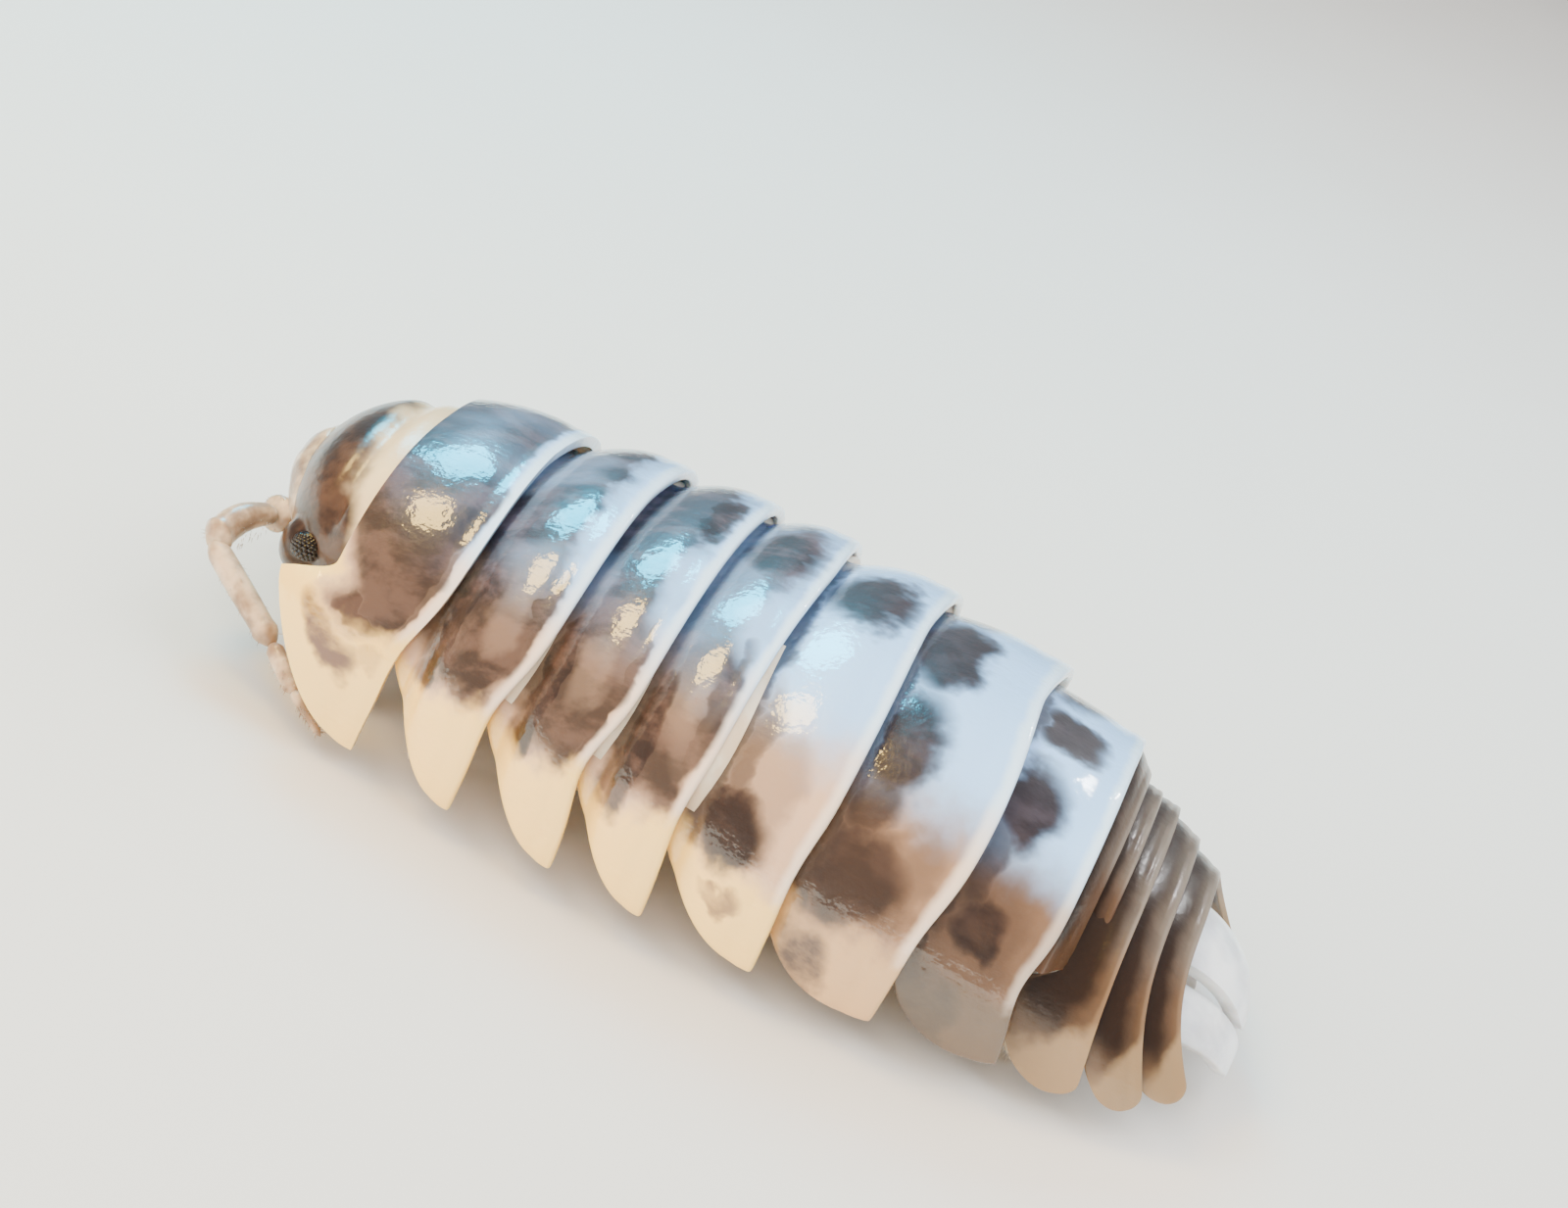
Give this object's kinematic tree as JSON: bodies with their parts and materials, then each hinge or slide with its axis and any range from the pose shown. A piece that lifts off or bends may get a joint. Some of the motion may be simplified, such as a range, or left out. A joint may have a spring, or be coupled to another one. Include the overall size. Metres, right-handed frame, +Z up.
{
  "type": "woodlouse",
  "caption": "Still life-size model of a walking woodlouse with overlapping arched shell plates, pointed side lobes, bent feelers and short legs.",
  "frame": {"origin": "centre of the box in plan, at the level of the feet", "axes": "+Z up, head towards -Y, the animal's left side towards +X"},
  "size_m": [0.008, 0.0154, 0.0041],
  "materials": {
    "shell": "glossy cuticle, pale grey-white with soft dark brown patches and cream side lobes",
    "head": "glossy brown cuticle with a pale forehead shield and a cream band behind",
    "eye": "shiny black",
    "limb": "satin, translucent tan",
    "tail": "glossy, whitish"
  },
  "bodies": {
    "root": {"antenna_lash_left": "limb", "antenna_lash_right": "limb", "antenna_left": "limb", "antenna_right": "limb", "eye_left": "eye", "eye_right": "eye", "gill_plates": "limb", "head": "head", "leg_1_left": "limb", "leg_1_right": "limb", "leg_2_left": "limb", "leg_2_right": "limb", "leg_3_left": "limb", "leg_3_right": "limb", "leg_4_left": "limb", "leg_4_right": "limb", "leg_5_left": "limb", "leg_5_right": "limb", "leg_6_left": "limb", "leg_6_right": "limb", "leg_7_left": "limb", "leg_7_right": "limb", "mouthparts": "limb", "pereonite_1": "shell", "pereonite_2": "shell", "pereonite_3": "shell", "pereonite_4": "shell", "pereonite_5": "shell", "pereonite_6": "shell", "pereonite_7": "shell", "pleonite_1": "shell", "pleonite_2": "shell", "pleonite_3": "shell", "pleonite_4": "shell", "pleonite_5": "shell", "telson": "tail", "uropod_left": "tail", "uropod_right": "tail"}
  },
  "joints": []
}
